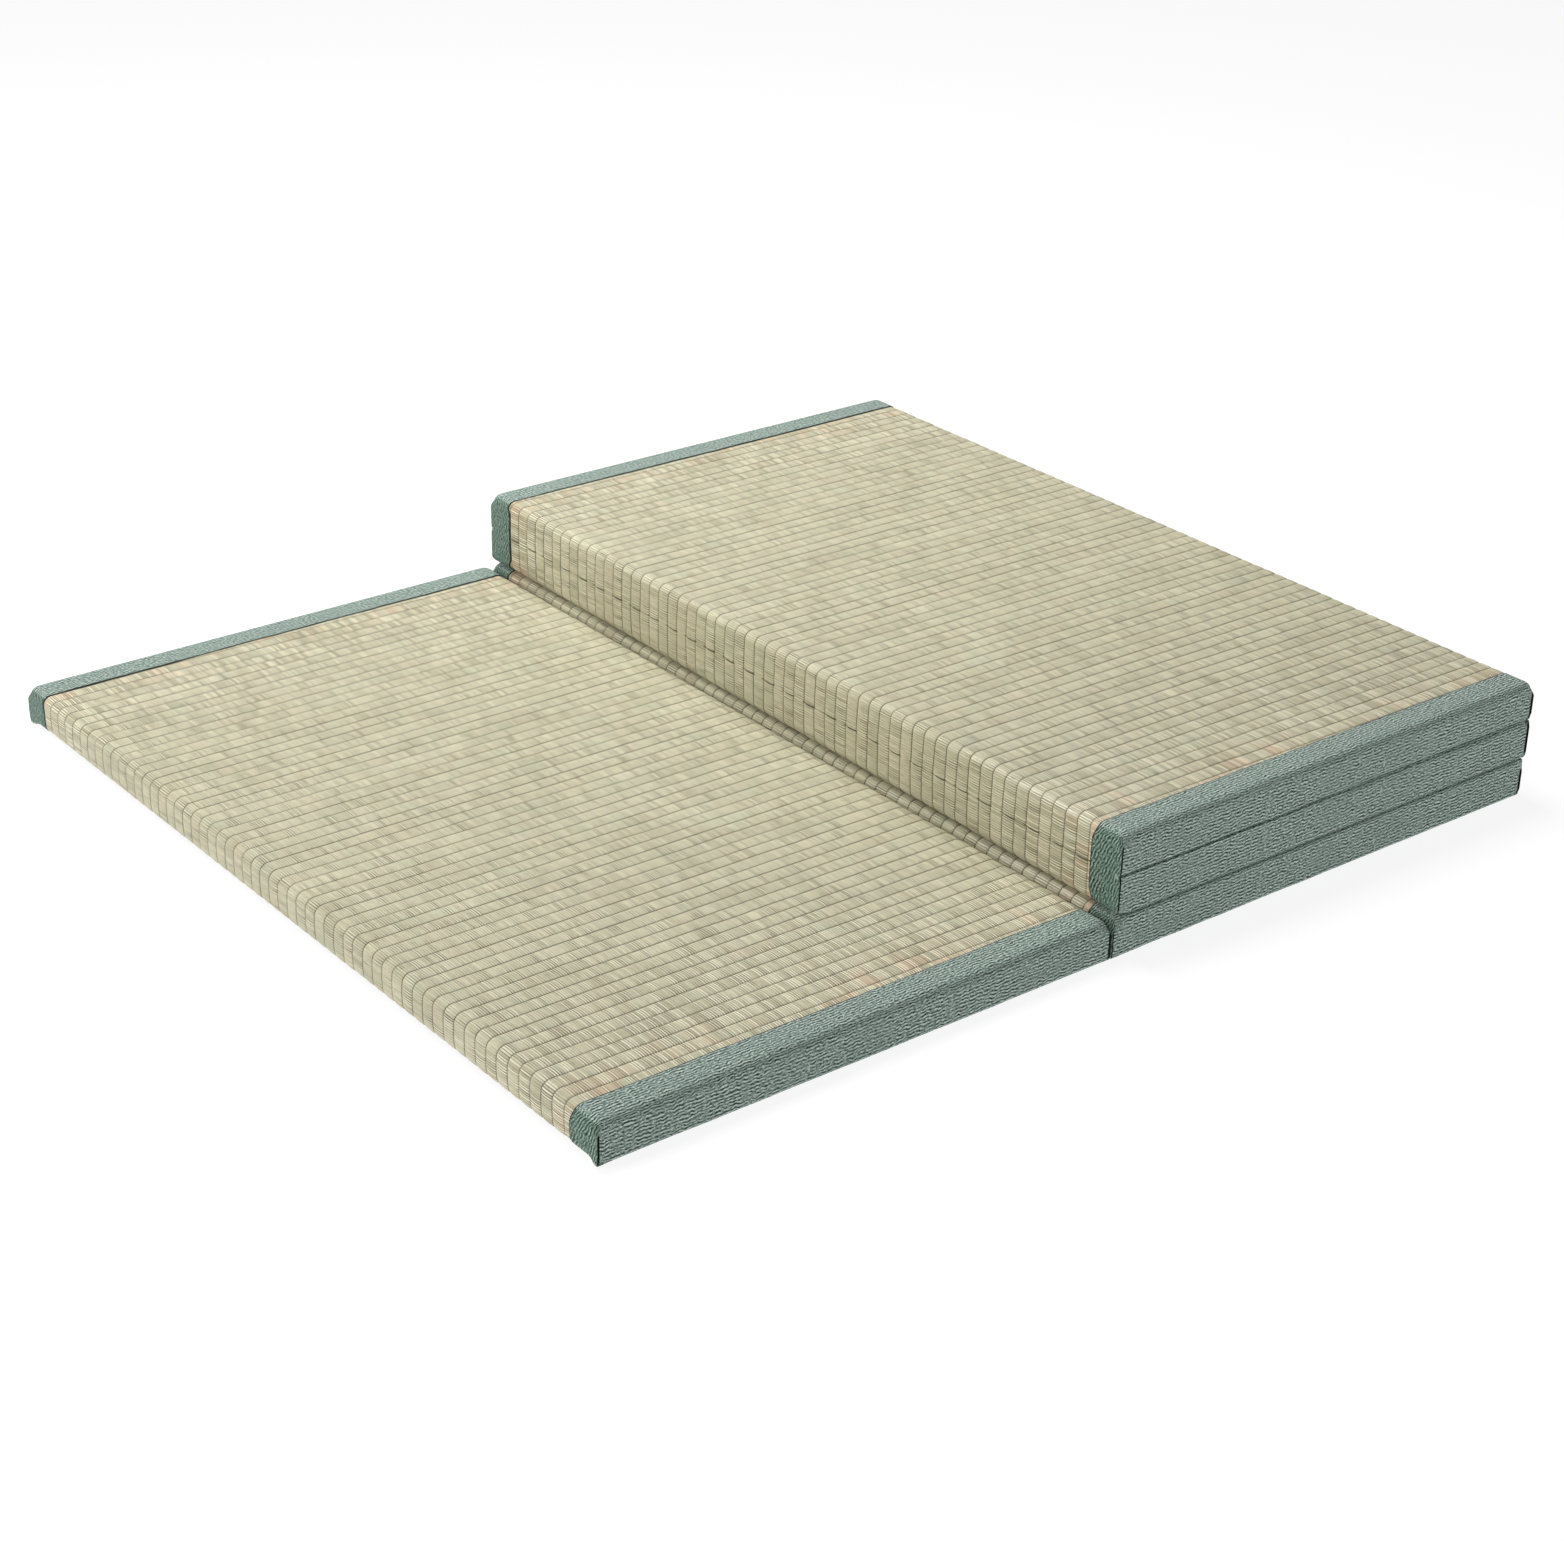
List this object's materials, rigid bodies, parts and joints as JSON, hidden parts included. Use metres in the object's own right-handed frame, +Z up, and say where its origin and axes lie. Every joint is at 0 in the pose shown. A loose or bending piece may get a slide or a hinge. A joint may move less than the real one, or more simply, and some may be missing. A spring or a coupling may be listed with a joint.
{
  "type": "folding rush mattress",
  "caption": "Thin floor mattress of stiff pads joined by cloth folds, each faced with ribbed woven rush and bound in green cloth at its ends; it folds in a zigzag into a stack.",
  "frame": {"origin": "on the floor, at the middle of the crease between pads 1 and 2, halfway along the crease", "axes": "+X across the folds, from pad 1 towards the stack of pads 2, 3 and 4; +Y along the folds; +Z up"},
  "size_m": [1.0497, 0.945, 0.1152],
  "materials": {
    "core_board": "needled fibre board, matte",
    "felt": "loose polyester felt, matte",
    "rush": "dried rush woven over cotton warp, ribbed, low satin",
    "backing_cloth": "non-woven cloth, matte",
    "binding_cloth": "crepe-woven cotton blend, matte",
    "seam_thread": "sewing thread, matte",
    "fold_thread": "waxed sewing thread, low satin"
  },
  "bodies": {
    "pad_1": {"core_board_1": "core_board", "felt_pad_1": "felt", "rush_mat_1": "rush", "backing_cloth_1": "backing_cloth", "near_binding_1": "binding_cloth", "far_binding_1": "binding_cloth", "near_seam_thread_1": "seam_thread", "far_seam_thread_1": "seam_thread"},
    "pad_2": {"core_board_2": "core_board", "felt_pad_2": "felt", "rush_mat_2": "rush", "backing_cloth_2": "backing_cloth", "near_binding_2": "binding_cloth", "far_binding_2": "binding_cloth", "near_seam_thread_2": "seam_thread", "far_seam_thread_2": "seam_thread", "fold_tape_1_2": "backing_cloth", "fold_stitching_1_2": "fold_thread", "fold_strip_2_3": "rush", "fold_stitching_2_3": "fold_thread"},
    "pad_3": {"core_board_3": "core_board", "felt_pad_3": "felt", "rush_mat_3": "rush", "backing_cloth_3": "backing_cloth", "near_binding_3": "binding_cloth", "far_binding_3": "binding_cloth", "near_seam_thread_3": "seam_thread", "far_seam_thread_3": "seam_thread", "fold_tape_3_4": "backing_cloth", "fold_stitching_3_4": "fold_thread"},
    "pad_4": {"core_board_4": "core_board", "felt_pad_4": "felt", "rush_mat_4": "rush", "backing_cloth_4": "backing_cloth", "near_binding_4": "binding_cloth", "far_binding_4": "binding_cloth", "near_seam_thread_4": "seam_thread", "far_seam_thread_4": "seam_thread"}
  },
  "joints": [
    {"name": "fold_1_2", "type": "hinge", "parent": "pad_2", "child": "pad_1", "pos_m": [0, 0, -0.0003], "axis": [0, -1, 0], "range_deg": [0, 180], "deforming": ["fold_tape_1_2"]},
    {"name": "fold_2_3", "type": "hinge", "parent": "pad_2", "child": "pad_3", "pos_m": [0.526, 0, 0.0383], "axis": [0, 1, 0], "range_deg": [0, 180], "deforming": ["fold_strip_2_3", "fold_stitching_2_3"]},
    {"name": "fold_3_4", "type": "hinge", "parent": "pad_3", "child": "pad_4", "pos_m": [0.002, 0, 0.0769], "axis": [0, -1, 0], "range_deg": [0, 180], "deforming": ["fold_tape_3_4", "fold_stitching_3_4"]}
  ]
}
